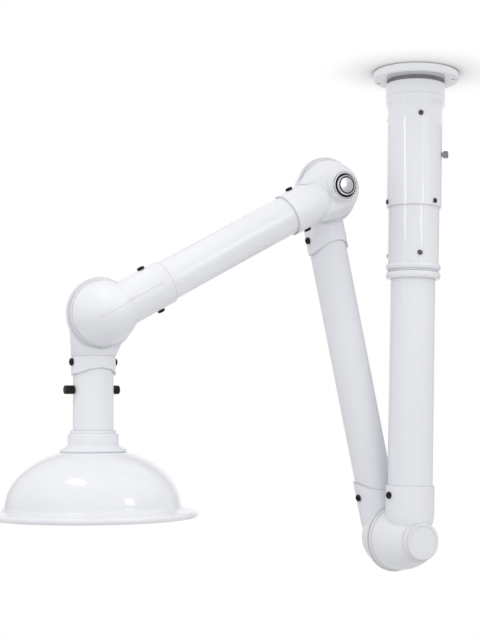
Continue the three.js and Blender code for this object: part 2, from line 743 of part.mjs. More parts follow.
// Ceiling flange, gasket and sleeves
function addColumnTop() {
  const plate = turned(
    [
      [FLANGE_BORE, FLANGE_BOTTOM],
      [FLANGE_RADIUS - FLANGE_EDGE, FLANGE_BOTTOM],
      [FLANGE_RADIUS, FLANGE_BOTTOM + FLANGE_EDGE],
      [FLANGE_RADIUS, -FLANGE_EDGE],
      [FLANGE_RADIUS - FLANGE_EDGE, 0],
      [FLANGE_BORE, 0],
    ],
    HOOD_SIDES,
  );
  const holes = [];
  for (let i = 0; i < FLANGE_HOLES; i++) {
    const turn = ((i + 0.5) * 2 * Math.PI) / FLANGE_HOLES;
    const hole = rod(FLANGE_HOLE_RADIUS, FLANGE_BOTTOM - OVERCUT, OVERCUT, PIN_SIDES);
    holes.push(hole.translate(FLANGE_HOLE_CIRCLE * Math.cos(turn), FLANGE_HOLE_CIRCLE * Math.sin(turn), 0));
  }
  arm.add(piece("ceiling_flange", cut(solid(plate), ...holes), WHITE_PAINT));
  const gasketTop = FLANGE_BOTTOM - SLIP / 2;
  const gasket = ring(FLANGE_BORE, GASKET_RADIUS, gasketTop - GASKET_HEIGHT + SLIP / 2, gasketTop);
  arm.add(piece("flange_gasket", solid(gasket), RUBBER));
  addOuterSleeve();
  addInnerSleeve();
}

// Cross holes for screws round a sleeve
function sleeveHoles(drop, turn, count) {
  const holes = [];
  for (let i = 0; i < count; i++) {
    const hole = alongX(rod(STEEL_SHANK_RADIUS + SLIP, COLUMN_RADIUS, BELL_RADIUS, SCREW_SIDES));
    holes.push(hole.rotateZ(turn + (2 * Math.PI * i) / count).translate(0, 0, -drop));
  }
  return holes;
}

function addOuterSleeve() {
  const bore = OUTER_SLEEVE_BORE;
  const shape = turned(
    [
      [bore, -OUTER_SLEEVE_END],
      [OUTER_SLEEVE_RADIUS, -OUTER_SLEEVE_END],
      [OUTER_SLEEVE_RADIUS, SLEEVE_TOP - BELL_DROP - BELL_TAPER],
      [BELL_RADIUS - BELL_STEP, SLEEVE_TOP - BELL_DROP],
      [BELL_RADIUS - BELL_STEP, SLEEVE_TOP - BELL_STEP_DROP - BELL_STEP],
      [BELL_RADIUS, SLEEVE_TOP - BELL_STEP_DROP],
      [BELL_RADIUS, SLEEVE_TOP - BELL_STEP],
      [BELL_RADIUS - BELL_STEP, SLEEVE_TOP],
      [FLANGE_BORE, SLEEVE_TOP],
      [FLANGE_BORE, SLEEVE_TOP - SLEEVE_WALL],
      [bore, SLEEVE_TOP - SLEEVE_WALL],
    ],
  );
  const sleeve = cut(
    solid(shape),
    ...sleeveHoles(TOP_SCREW_DROP, TOP_SCREW_TURN, SLEEVE_SCREWS),
    ...sleeveHoles(CLAMP_SCREW_DROP, CLAMP_SCREW_TURN, SLEEVE_SCREWS),
    ...sleeveHoles(SIDE_BOLT_DROP, SIDE_BOLT_TURN, 1),
  );
  arm.add(piece("outer_sleeve", sleeve, WHITE_PAINT));
  const outerReach = SLEEVE_WALL + SLIP;
  addSleeveScrews("sleeve_top_screw", OUTER_SLEEVE_RADIUS, outerReach, TOP_SCREW_DROP, TOP_SCREW_TURN);
  addSleeveScrews("sleeve_clamp_screw", OUTER_SLEEVE_RADIUS, outerReach, CLAMP_SCREW_DROP, CLAMP_SCREW_TURN);
  const bolt = solid(
    turned(
      [
        [0, -SLEEVE_WALL],
        [STEEL_SHANK_RADIUS, -SLEEVE_WALL],
        [STEEL_SHANK_RADIUS, SLIP],
        [SIDE_BOLT_NECK_RADIUS, SLIP],
        [SIDE_BOLT_NECK_RADIUS, SIDE_BOLT_NECK],
        [SIDE_BOLT_RADIUS, SIDE_BOLT_NECK],
        [SIDE_BOLT_RADIUS, SIDE_BOLT_LENGTH - SIDE_BOLT_EDGE],
        [SIDE_BOLT_RADIUS - SIDE_BOLT_EDGE, SIDE_BOLT_LENGTH],
        [0, SIDE_BOLT_LENGTH],
      ],
      PIN_SIDES,
    ),
  );
  addRadial(piece("side_bolt", bolt, STEEL), OUTER_SLEEVE_RADIUS, SIDE_BOLT_DROP, SIDE_BOLT_TURN);
}

// Places a piece made along +Z so that it points straight out of the column
function addRadial(mesh, radius, drop, turn) {
  const out = new THREE.Vector3(Math.cos(turn), Math.sin(turn), 0);
  const group = frameAt(out.clone().multiplyScalar(radius).setZ(-drop), UP, out);
  group.add(mesh);
  arm.add(group);
}

function addSleeveScrews(name, radius, reach, drop, turn) {
  for (let i = 0; i < SLEEVE_SCREWS; i++) {
    const screw = socketScrew(
      STEEL_HEAD_RADIUS,
      STEEL_HEAD_HEIGHT,
      STEEL_SHANK_RADIUS,
      STEEL_KEY_RADIUS,
      STEEL_KEY_DEPTH,
      reach,
    );
    const mesh = piece(`${name}_${i + 1}`, screw, STEEL);
    addRadial(mesh, radius + SLIP, drop, turn + (2 * Math.PI * i) / SLEEVE_SCREWS);
  }
}

// The rounded outside of a sleeve ring
function ringRound(middle, half) {
  return arc(RING_RADIUS - RING_ROUND, middle, RING_ROUND, half, -Math.PI / 2, Math.PI / 2, 2 * ARC_STEPS);
}

function addInnerSleeve() {
  const top = -UPPER_RING_TOP;
  const bottom = -UPPER_RING_BOTTOM;
  const round = ringRound((top + bottom) / 2, UPPER_RING_HEIGHT / 2);
  const shape = turned(
    [
      [INNER_SLEEVE_BORE, bottom],
      ...round,
      [INNER_SLEEVE_RADIUS, top],
      [INNER_SLEEVE_RADIUS, -INNER_SLEEVE_TOP],
      [INNER_SLEEVE_BORE, -INNER_SLEEVE_TOP],
    ],
  );
  const holes = sleeveHoles(INNER_SCREW_DROP, INNER_SCREW_TURN, SLEEVE_SCREWS);
  arm.add(piece("inner_sleeve", cut(solid(shape), ...holes), WHITE_PAINT));
  const innerReach = INNER_SLEEVE_RADIUS - COLUMN_RADIUS - 2 * RUNNING_GAP;
  addSleeveScrews("inner_sleeve_screw", INNER_SLEEVE_RADIUS, innerReach, INNER_SCREW_DROP, INNER_SCREW_TURN);
  addSwivel();
}

// The swivel: a flanged bearing bush, the collar below it and the retaining ring above it
function addSwivel() {
  const inner = COLUMN_RADIUS + RUNNING_GAP;
  const outer = INNER_SLEEVE_BORE - SLIP;
  const neckTop = -UPPER_RING_BOTTOM - SLIP;
  const bearing = turned(
    [
      [inner, -NECK_BOTTOM],
      [NECK_RADIUS, -NECK_BOTTOM],
      [NECK_RADIUS, neckTop],
      [outer, neckTop],
      [outer, -BEARING_TOP],
      [inner, -BEARING_TOP],
    ],
  );
  const holes = sleeveHoles(INNER_SCREW_DROP, INNER_SCREW_TURN, SLEEVE_SCREWS);
  arm.add(piece("swivel_bearing", cut(solid(bearing), ...holes), WHITE));
  const collarTop = -NECK_BOTTOM - SLIP;
  const collarBottom = -NECK_BOTTOM - LOWER_RING_HEIGHT;
  const middle = (collarTop + collarBottom) / 2;
  const half = (collarTop - collarBottom) / 2;
  const bore = COLUMN_RADIUS + SLIP;
  const collar = turned(
    [
      [bore, collarBottom],
      ...ringRound(middle, half),
      [bore, collarTop],
    ],
  );
  arm.add(piece("swivel_collar", solid(collar), WHITE_PAINT));
  const seat = -BEARING_TOP + SLIP;
  const retainer = ring(bore, outer - RUNNING_GAP, seat, seat + RETAINER_HEIGHT);
  arm.add(piece("swivel_retainer", solid(retainer), STEEL));
}

// Column tube, hung from the retaining ring down to the lower elbow's seat
function addColumnTube() {
  const top = LOWER_PIVOT_DROP - BEARING_TOP + RETAINER_HEIGHT + COLUMN_ABOVE_RETAINER;
  const group = frameAt(new THREE.Vector3(0, 0, -LOWER_PIVOT_DROP), UP, FRONT);
  const tube = socketTube(COLUMN_RADIUS, TUBE_SEAT + SLIP, top, [screwStation(lowerBossed)]);
  group.add(piece("column_tube", tube, WHITE_PAINT));
  arm.add(group);
}

// A tube between two elbow halves
function addLinkTube(name, start, way, length, plane, firstHalf, lastHalf) {
  const origin = start.clone().setY(plane);
  const group = frameAt(origin, way, FRONT);
  const near = TUBE_SEAT + SLIP;
  const stations = [screwStation(firstHalf), length - screwStation(lastHalf)];
  const tube = socketTube(ARM_RADIUS, near, length - near, stations);
  group.add(piece(name, tube, WHITE_PAINT));
  arm.add(group);
}

// The pivot of an elbow, in the frame of its bossed half
function addPivot(name, half, group) {
  const stack = stackOf(half);
  group.add(piece(`${name}_seal_ring`, sealRing(), RUBBER));
  group.add(piece(`${name}_disc_spring`, discSpring(stack.spring), STEEL));
  if (half.bezel) {
    group.add(piece(`${name}_pivot_bolt`, pivotBolt(stack.nut + NUT_HEIGHT - BOLT_TIP), STEEL));
    group.add(piece("adjuster_bezel", adjusterBezel(), CHROME));
    group.add(piece("adjuster_knob", adjusterKnob(stack.nut), CHROME));
    return;
  }
  group.add(piece(`${name}_pivot_bolt`, pivotBolt(stack.nut + NUT_HEIGHT + BOLT_TIP), STEEL));
  group.add(piece(`${name}_pivot_nut`, hexNut(stack.nut), STEEL));
  group.add(piece(`${name}_cap`, pivotCap(half.bossRadius, half.face), WHITE));
}

function addElbows() {
  const back = middleWay.clone().negate();
  const upperBack = upperWay.clone().negate();
  const lower = addHalf("lower_elbow_front", lowerBossed, lowerPivot, UP, FRONT, bossedHalf(lowerBossed));
  addPivot("lower_elbow", lowerBossed, lower);
  addHalf("lower_elbow_rear", plain, lowerPivot, middleWay, BACK, plainHalf(plain));
  addHalf("upper_elbow_rear", plain, upperPivot, back, BACK, plainHalf(plain));
  const adjuster = bossedHalf(adjusterHalf);
  const upper = addHalf("upper_elbow_front", adjusterHalf, upperPivot, upperWay, FRONT, adjuster);
  addPivot("upper_elbow", adjusterHalf, upper);
  addHalf("hood_elbow_front", hoodDome, hoodPivot, upperBack, FRONT, plainHalf(hoodDome));
  const hood = addHalf("hood_elbow_rear", hoodBossed, hoodPivot, hoodWay, BACK, bossedHalf(hoodBossed));
  addPivot("hood_elbow", hoodBossed, hood);
}

// Hood tube, damper, collar and hood, in a frame whose X runs down the hood's axis
function addHood() {
  const origin = hoodPivot.clone().setY(hoodPivot.y + ARM_OFFSET);
  const group = frameAt(origin, hoodWay, BACK);
  const tube = socketTube(ARM_RADIUS, TUBE_SEAT + SLIP, COLLAR_SEAT - SLIP, [screwStation(hoodBossed)]);
  const holeEnd = ARM_RADIUS + OVERCUT;
  const shaftHole = alongY(rod(DAMPER_SHAFT_RADIUS + RUNNING_GAP, -holeEnd, holeEnd, SCREW_SIDES));
  group.add(piece("hood_tube", cut(tube, shaftHole.translate(DAMPER_STATION, 0, 0)), WHITE_PAINT));
  group.add(piece("hood_collar", hoodCollar(), WHITE));
  group.add(piece("hood_dome", hoodDomeShell(), WHITE));
  addDamper(group);
  arm.add(group);
}

function hoodCollar() {
  const bore = ARM_RADIUS + SLIP;
  const throat = ARM_RADIUS - TUBE_WALL;
  const flangeBottom = COLLAR_FLANGE_TOP + COLLAR_FLANGE_HEIGHT;
  const round = (radius, top) => {
    return arc(radius - COLLAR_ROUND, top + COLLAR_ROUND, COLLAR_ROUND, COLLAR_ROUND, -Math.PI / 2, 0);
  };
  const outline = [
    [bore, COLLAR_TOP],
    [COLLAR_LIP_RADIUS, COLLAR_TOP],
    [COLLAR_LIP_RADIUS, COLLAR_TOP + COLLAR_LIP_HEIGHT],
    ...round(COLLAR_RADIUS, COLLAR_TOP + COLLAR_LIP_HEIGHT),
    [COLLAR_RADIUS, COLLAR_FLANGE_TOP - COLLAR_ROUND],
    [COLLAR_RADIUS + COLLAR_ROUND, COLLAR_FLANGE_TOP],
    ...round(COLLAR_FLANGE_RADIUS, flangeBottom - 2 * COLLAR_ROUND).slice(1),
    [COLLAR_FLANGE_RADIUS, flangeBottom],
    [SPIGOT_RADIUS, flangeBottom],
    [SPIGOT_RADIUS, flangeBottom + SPIGOT_LENGTH],
    [SPIGOT_RADIUS - SHELL_WALL, flangeBottom + SPIGOT_LENGTH],
    [throat, COLLAR_SEAT + SHELL_WALL],
    [throat, COLLAR_SEAT],
    [bore, COLLAR_SEAT],
  ];
  return solid(alongX(turned(outline, BOWL_SIDES)));
}

// The domed hood: an elliptic shell that flares into a lip with a rolled bead
function hoodDomeShell() {
  const top = COLLAR_FLANGE_TOP + COLLAR_FLANGE_HEIGHT + SLIP;
  const crownAngle = Math.asin((HOOD_CENTRE - top) / HOOD_HEIGHT);
  const footAngle = Math.asin((HOOD_CENTRE - (LIP_BOTTOM - 2 * BEAD_RADIUS - LIP_ROUND)) / HOOD_HEIGHT);
  const outside = arc(0, HOOD_CENTRE, HOOD_RADIUS, -HOOD_HEIGHT, crownAngle, footAngle, DOME_STEPS);
  const innerHeight = HOOD_HEIGHT - HOOD_WALL;
  const innerTop = top + HOOD_WALL;
  const innerCrown = Math.asin((HOOD_CENTRE - innerTop) / innerHeight);
  const innerRadius = HOOD_RADIUS - HOOD_WALL;
  const inside = arc(0, HOOD_CENTRE, innerRadius, -innerHeight, footAngle, innerCrown, BOSS_STEPS);
  const beadR = LIP_RADIUS - BEAD_RADIUS;
  const beadZ = LIP_BOTTOM - BEAD_RADIUS;
  const foot = outside[outside.length - 1];
  const flare = bend(foot, [foot[0] + LIP_LEAN, beadZ - BEAD_RADIUS], [beadR, beadZ - BEAD_RADIUS]);
  const bead = arc(beadR, beadZ, BEAD_RADIUS, BEAD_RADIUS, -Math.PI / 2, (Math.PI * 3) / 4, BOSS_STEPS);
  const under = bend(
    bead[bead.length - 1],
    [foot[0] + LIP_LEAN - HOOD_WALL, beadZ - BEAD_RADIUS + HOOD_WALL],
    inside[0],
  );
  const mouth = SPIGOT_RADIUS + SLIP;
  const outline = [
    [mouth, top],
    ...outside,
    ...flare.slice(1),
    ...bead.slice(1),
    ...under.slice(1),
    ...inside.slice(1),
    [mouth, innerTop],
  ];
  return solid(alongX(turned(outline, HOOD_SIDES)));
}

// Butterfly damper: disc and barrel on a shaft across the tube, with a knob at each end
function addDamper(group) {
  const bore = ARM_RADIUS - TUBE_WALL;
  const discRadius = bore - DAMPER_CLEARANCE;
  const barrel = bore - DAMPER_BARREL_INSET;
  const disc = join(
    rod(discRadius, -DAMPER_THICKNESS / 2, DAMPER_THICKNESS / 2),
    alongY(rod(DAMPER_BARREL_RADIUS, -barrel, barrel, SCREW_SIDES)),
  );
  const shaftHole = alongY(rod(DAMPER_SHAFT_RADIUS + SLIP, -ARM_RADIUS, ARM_RADIUS, SCREW_SIDES));
  const damper = new THREE.Group();
  damper.position.x = DAMPER_STATION;
  damper.add(piece("damper_disc", cut(disc, shaftHole), STEEL));
  const knobStart = ARM_RADIUS + RUNNING_GAP;
  const handleEnd = knobStart + DAMPER_HANDLE_LENGTH;
  const endKnobEnd = knobStart + DAMPER_END_LENGTH;
  const shaft = alongY(
    rod(DAMPER_SHAFT_RADIUS, -endKnobEnd + DAMPER_KNOB_WALL, handleEnd - DAMPER_KNOB_WALL, SCREW_SIDES),
  );
  damper.add(piece("damper_shaft", solid(shaft), STEEL));
  damper.add(piece("damper_handle", damperKnob(knobStart, handleEnd), BLACK));
  const endKnob = piece("damper_end_knob", damperKnob(knobStart, endKnobEnd), BLACK);
  endKnob.rotation.x = Math.PI;
  damper.add(endKnob);
  group.add(damper);
}

// A round knob along +Y with a blind hole for the shaft and a bevelled end
function damperKnob(start, end) {
  const blind = end - DAMPER_KNOB_WALL + SLIP;
  const outline = [
    [DAMPER_SHAFT_RADIUS + SLIP, start],
    [DAMPER_KNOB_RADIUS, start],
    [DAMPER_KNOB_RADIUS, end - DAMPER_KNOB_EDGE],
    [DAMPER_KNOB_RADIUS - DAMPER_KNOB_EDGE, end],
    [0, end],
    [0, blind],
    [DAMPER_SHAFT_RADIUS + SLIP, blind],
  ];
  const turnedKnob = new THREE.LatheGeometry(
    [...outline, outline[0]].map(([r, z]) => new THREE.Vector2(r, z)),
    PIN_SIDES,
  );
  return solid(turnedKnob);
}

addColumnTop();
addColumnTube();
addElbows();
const middlePlane = lowerPivot.y + ARM_OFFSET;
const upperPlane = upperPivot.y - ARM_OFFSET;
addLinkTube("middle_tube", lowerPivot, middleWay, MIDDLE_LENGTH, middlePlane, plain, plain);
addLinkTube("upper_tube", upperPivot, upperWay, UPPER_LENGTH, upperPlane, adjusterHalf, hoodDome);
addHood();

export default arm;
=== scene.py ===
# Looks of a ceiling-mounted fume extraction arm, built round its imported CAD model.
# Metres, +Z up. The origin is the middle of the ceiling flange's top face, and -Y is the photographed side.
import json
import math

import bmesh
import bpy
import numpy as np
from mathutils import Matrix, Vector
from mathutils.bvhtree import BVHTree

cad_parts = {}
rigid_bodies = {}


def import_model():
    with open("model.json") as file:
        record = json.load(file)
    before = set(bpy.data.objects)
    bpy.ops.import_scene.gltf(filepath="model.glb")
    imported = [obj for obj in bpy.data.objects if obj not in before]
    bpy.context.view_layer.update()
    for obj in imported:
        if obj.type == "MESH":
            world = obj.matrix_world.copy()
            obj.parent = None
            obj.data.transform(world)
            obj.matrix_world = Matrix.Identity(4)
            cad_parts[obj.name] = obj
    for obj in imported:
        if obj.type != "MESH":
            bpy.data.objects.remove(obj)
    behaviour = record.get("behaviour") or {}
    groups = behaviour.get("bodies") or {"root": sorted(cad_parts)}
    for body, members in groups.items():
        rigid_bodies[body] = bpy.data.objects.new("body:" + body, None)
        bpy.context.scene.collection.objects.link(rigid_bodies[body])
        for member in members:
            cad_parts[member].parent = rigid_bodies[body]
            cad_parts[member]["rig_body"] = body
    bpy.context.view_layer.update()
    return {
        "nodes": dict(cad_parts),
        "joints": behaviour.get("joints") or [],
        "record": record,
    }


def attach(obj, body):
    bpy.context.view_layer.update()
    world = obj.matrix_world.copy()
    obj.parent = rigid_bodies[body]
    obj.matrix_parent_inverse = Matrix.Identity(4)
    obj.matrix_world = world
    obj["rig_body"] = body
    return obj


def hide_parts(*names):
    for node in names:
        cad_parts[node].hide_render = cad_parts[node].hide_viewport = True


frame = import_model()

scene = bpy.context.scene
nodes = frame["nodes"]
joints = {joint["name"]: joint for joint in frame["joints"]}
slot_of = {part["node"]: part["material_slot"] for part in frame["record"]["subparts"]}
MM = 0.001

# Camera, fitted to the photograph
IMAGE_HEIGHT = 640
FOCAL_PIXELS = 1414
SENSOR_HEIGHT = 36
CAMERA_PLACE = Vector((-1.5681, -2.3536, -0.7392))
CAMERA_YAW = math.radians(26.7)
CAMERA_PITCH = math.radians(4.69)
CAMERA_ROLL = math.radians(1.37)

# Smooth shading: the sharpest edge that stays smooth, and the distance within which points count as one
SMOOTH_ANGLE = math.radians(35)
WELD_DISTANCE = 0.01 * MM

# Reading a round node: its corners' decimals, and the share of its radius where its widest ring starts
CORNER_DECIMALS = 6
WIDEST_SHARE = 0.97

# Steps of a rounded edge
DOME_STEPS = 6

# Finer screws: their sides, and the dome and key hole as shares of the CAD screw's head
SCREW_SIDES = 36
SCREW_EDGE = 0.4
SCREW_TOP = 0.6
SCREW_KEY = 0.4
SCREW_KEY_DEPTH = 0.55

# Damper knobs: flutes round the side, which start past a plain foot and a rounded end by a factor
DAMPER_KNOB_SIDES = 96
DAMPER_KNOB_FLUTES = 16
DAMPER_KNOB_FLUTE_DEPTH = 0.6 * MM
DAMPER_KNOB_CHAMFER = 0.5 * MM
DAMPER_KNOB_FOOT = 2 * MM
DAMPER_KNOB_EDGE = 1.5 * MM
FLUTE_CLEARANCE = 1.3

# Friction adjuster: the bezel's round lip, and the knob's tapered side, rim, groove and crowned face
ADJUSTER_SIDES = 96
BEZEL_LIP = 4 * MM
BEZEL_FLOOR = 2 * MM
KNOB_TAPER = 1.6 * MM
KNOB_RIM = 2.2 * MM
KNOB_GROOVE = 2.6 * MM
KNOB_GROOVE_DEPTH = 2.6 * MM
KNOB_CROWN = 0.8 * MM
KNOB_FACE_EDGE = 0.5 * MM

# Hood: an elliptic dome, a flare and a lip with a bead
HOOD_SIDES = 128
HOOD_STEPS = 16
HOOD_SIZE = (108.5 * MM, 161 * MM)  # half height and radius of the ellipse
HOOD_RISE = 19.5 * MM  # the ellipse's middle over the lip's bottom
HOOD_WALL = 3 * MM
BEAD_RADIUS = 6 * MM
BEAD_END = math.radians(-135)  # where the bead's round goes over into the hood's inside
FLARE = 15 * MM  # height of the flare over the lip

# Mould line of the hood elbow's front half, measured from the pivot along the pipe
MOULD_LINE_START = -36 * MM
MOULD_LINE_END = 102 * MM
MOULD_LINE_RISE = 6 * MM  # over the pipe's middle
MOULD_LINE_STEPS = 44
MOULD_LINE_WIDTH = 2 * MM
MOULD_LINE_HEIGHT = 0.8 * MM
MOULD_LINE_ROOT = 0.5 * MM  # under the surface
RAY_START = 300 * MM  # in front of the pivot

# Stage: a disc of ceiling over the flange and a floor, what they shed on the part, and the shade on them
STAGE_SIDES = 96
CEILING_GAP = 0.5 * MM
CEILING_RADIUS = 0.55
CEILING_GLOW = 1
FLOOR_DROP = 2.35
FLOOR_RADIUS = 3.5
FLOOR_GLOW = 0.56
SHADOW_REACH = 0.13
SHADOW_DEPTH = 1.3
SHADOW_SAMPLES = 16

# Room light: how its lightest side leans up and turns from the camera, its radiance there and opposite
LIGHT_LEAN = math.radians(45)
LIGHT_TURN = math.radians(15)
LIGHT_SIDE = 1.07
DARK_SIDE = 0.77

# The room as gloss shows it: from a light side to a dark side, and a white backdrop behind the part
MIRROR_FROM = Vector((-0.6, -0.35, 0.7)).normalized()
MIRROR_SPAN = 0.3
MIRROR_LIGHT = 0.9
MIRROR_DARK = 0.36
BACKDROP_CORE = math.cos(math.radians(22))
BACKDROP_EDGE = math.cos(math.radians(36))

# Softboxes: place, aim and size in metres, radiance, and spread in degrees
SOFTBOXES = {
    "left_strip": {
        "place": (-2.2, -0.6, 0.27), "aim": (0, 0, -0.15), "size": (0.3, 0.6),
        "light": 4.5, "spread": 40,
    },
    "front_strip": {
        "place": (0, -2.4, 0.2), "aim": (0, 0, -0.18), "size": (0.25, 0.6),
        "light": 4.5, "spread": 34,
    },
    "corner_box": {
        "place": (0.62, -2.4, 0.2), "aim": (-0.62, -0.07, -0.86), "size": (0.6, 0.9),
        "light": 6, "spread": 36,
    },
    "overhead": {
        "place": (-1.18, -0.17, 0.5), "aim": (-0.7, -0.03, -0.83), "size": (0.5, 0.3),
        "light": 4.2, "spread": 80,
    },
}

# Finishes in common: the part of each noise that a look runs over, the noise's detail, and plain values
CLOUD_RANGE = (0.35, 0.65)
CLOUD_DETAIL = 3
WEAR_RANGE = (0.42, 0.62)
WEAR_DETAIL = 5
GLOSS_RANGE = (0.3, 0.7)
GLOSS_DETAIL = 4
GRAIN_DETAIL = 2
EVEN = (1, 1, 1)
PLAIN_SPECULAR = 0.5

# Edges, and painted shade in recesses: the cosines of a flat and of a sharp edge, how open a shut and an
# open place are
EDGE_RANGE = (0.995, 0.85)
EDGE_SAMPLES = 4
PAINTED_SHADE_RANGE = (0.5, 0.95)
PAINTED_SHADE_SAMPLES = 8

# Finishes by the record's material slots. Scales count waves per metre, and a roughness has two ends.
WHITE = (0.80, 0.81, 0.845)
BLACK = (0.004, 0.004, 0.005)
LOOKS = {
    "white_plastic": {
        "colour": WHITE, "cloud_colour": (0.775, 0.785, 0.825), "cloud_scale": 7,
        "roughness": (0.3, 0.42), "gloss_scale": 26, "grain": 0.06, "grain_height": 0.05 * MM,
        "grain_scale": 900, "edge": 4.5 * MM, "wear": 0.12, "wear_scale": 24,
        "worn_colour": (0.7, 0.705, 0.725),
    },
    "white_paint": {
        "colour": WHITE, "cloud_colour": (0.78, 0.79, 0.83), "cloud_scale": 5,
        "roughness": (0.03, 0.07), "gloss_scale": 18, "grain": 0.05, "grain_height": 0.08 * MM,
        "grain_scale": 320, "edge": 0.6 * MM, "wear": 0.4, "wear_scale": 40,
        "worn_colour": (0.66, 0.665, 0.68),
    },
    "black_screw": {
        "colour": BLACK, "cloud_colour": (0.009, 0.009, 0.01), "cloud_scale": 160,
        "roughness": (0.24, 0.38), "gloss_scale": 300, "grain": 0.25, "grain_height": 0.06 * MM,
        "grain_scale": 1600, "edge": 0.35 * MM, "wear": 0.55, "wear_scale": 260,
        "worn_colour": (0.12, 0.12, 0.125), "specular": 0.2,
    },
    "black_plastic": {
        "colour": BLACK, "cloud_colour": (0.01, 0.01, 0.011), "cloud_scale": 120,
        "roughness": (0.26, 0.4), "gloss_scale": 220, "grain": 0.4, "grain_height": 0.08 * MM,
        "grain_scale": 2200, "edge": 0.4 * MM, "wear": 0.45, "wear_scale": 220,
        "worn_colour": (0.07, 0.07, 0.075), "specular": 0.2,
    },
    "steel": {
        "colour": (0.1, 0.103, 0.112), "cloud_colour": (0.075, 0.078, 0.085), "cloud_scale": 140,
        "roughness": (0.12, 0.24), "gloss_scale": 260, "grain": 0.2, "grain_height": 0.05 * MM,
        "grain_scale": 900, "stretch": (1, 1, 8), "edge": 0.3 * MM, "wear": 0.4, "wear_scale": 240,
        "worn_colour": (0.62, 0.63, 0.65), "metallic": 1,
    },
    "chrome": {
        "colour": (0.72, 0.73, 0.75), "cloud_colour": (0.66, 0.67, 0.69), "cloud_scale": 90,
        "roughness": (0.12, 0.2), "gloss_scale": 120, "grain": 0.05, "grain_height": 0.03 * MM,
        "grain_scale": 500, "edge": 0.3 * MM, "wear": 0.3, "wear_scale": 200,
        "worn_colour": (0.5, 0.5, 0.52), "metallic": 1,
        # Painted shade: within this reach, the chrome's recesses are painted towards near-black
        "recess": 5 * MM, "recess_colour": (0.03, 0.03, 0.033),
    },
    "rubber": {
        "colour": (0.2, 0.2, 0.21), "cloud_colour": (0.24, 0.24, 0.25), "cloud_scale": 60,
        "roughness": (0.7, 0.88), "gloss_scale": 180, "grain": 0.5, "grain_height": 0.12 * MM,
        "grain_scale": 1500, "edge": 0.4 * MM, "wear": 0.3, "wear_scale": 150,
        "worn_colour": (0.3, 0.3, 0.31), "specular": 0.25,
    },
}

# Finishes that differ from a slot's, the nodes that have one, and the mould line's
LOOKS["white_gloss"] = {**LOOKS["white_plastic"], "roughness": (0.04, 0.09)}
LOOKS["white_trim"] = {**LOOKS["white_plastic"], "edge": 1.6 * MM}
LOOKS["white_satin"] = {**LOOKS["white_paint"], "roughness": (0.14, 0.22)}
# The side bolt's steel is a lighter copy of the steel: painted light, standing in for the light the bolt
# catches
LOOKS["painted_light_steel"] = {
    **LOOKS["steel"],
    "colour": (0.3, 0.31, 0.33),
    "cloud_colour": (0.2, 0.207, 0.222),
}
OWN_LOOKS = {
    "hood_dome": "white_gloss",
    "hood_collar": "white_gloss",
    "side_bolt": "painted_light_steel",
    "column_tube": "white_satin",
    "middle_tube": "white_satin",
    "upper_tube": "white_satin",
    "hood_tube": "white_satin",
}
MOULD_LINE_LOOK = "white_trim"


def feed(tree, socket, value):
    """Gives a socket its value, or the other socket that feeds it. A colour comes without its alpha."""
    if isinstance(value, bpy.types.NodeSocket):
        tree.links.new(value, socket)
    elif socket.type == "RGBA":
        socket.default_value = (*value, 1)
    else:
        socket.default_value = value


def add_node(tree, kind, inputs=None, **settings):
    """Adds a shader node with its settings and what feeds its inputs."""
    node = tree.nodes.new(kind)
    for name, value in settings.items():
        setattr(node, name, value)
    for name, value in (inputs or {}).items():
        feed(tree, node.inputs[name], value)
    return node


def noise(tree, scale, detail, stretch=EVEN):
    """A noise in the part's own metres, from 0 to 1."""
    place = add_node(tree, "ShaderNodeTexCoord").outputs["Object"]
    mapped = add_node(tree, "ShaderNodeMapping", {"Vector": place, "Scale": stretch}).outputs["Vector"]
    inputs = {"Vector": mapped, "Scale": scale, "Detail": detail}
    return add_node(tree, "ShaderNodeTexNoise", inputs).outputs["Fac"]


def between(tree, value, low, high, new_low, new_high):
    """A value mapped from one range onto another, held inside it."""
    inputs = {"Value": value, "From Min": low, "From Max": high, "To Min": new_low, "To Max": new_high}
    return add_node(tree, "ShaderNodeMapRange", inputs).outputs["Result"]


def combined(tree, operation, first, second):
    """Two values put together by an operation."""
    return add_node(tree, "ShaderNodeMath", {0: first, 1: second}, operation=operation).outputs["Value"]


def cosine(tree, first, second):
    """The cosine of the angle between two directions."""
    inputs = {0: first, 1: second}
    return add_node(tree, "ShaderNodeVectorMath", inputs, operation="DOT_PRODUCT").outputs["Value"]


def mix_colour(tree, share, first, second):
    """The first colour where the share is 0, the second where it is 1."""
    # The node has sockets of the same name for other kinds of value, so these go by number
    return add_node(tree, "ShaderNodeMix", {0: share, 6: first, 7: second}, data_type="RGBA").outputs[2]


def mix_shader(tree, share, first, second):
    """The first shader where the share is 0, the second where it is 1."""
    return add_node(tree, "ShaderNodeMixShader", {0: share, 1: first, 2: second}).outputs["Shader"]


def edge_share(tree, rounded):
    """How far a rounded edge turns the surface: 0 on flat ground, 1 on a sharp edge."""
    flat = add_node(tree, "ShaderNodeNewGeometry").outputs["Normal"]
    return between(tree, cosine(tree, flat, rounded), *EDGE_RANGE, 0, 1)


def openness(tree, reach, samples):
    """How open a place is: 0 where it is shut in within a reach, 1 where nothing is near."""
    return add_node(tree, "ShaderNodeAmbientOcclusion", {"Distance": reach}, samples=samples).outputs["AO"]


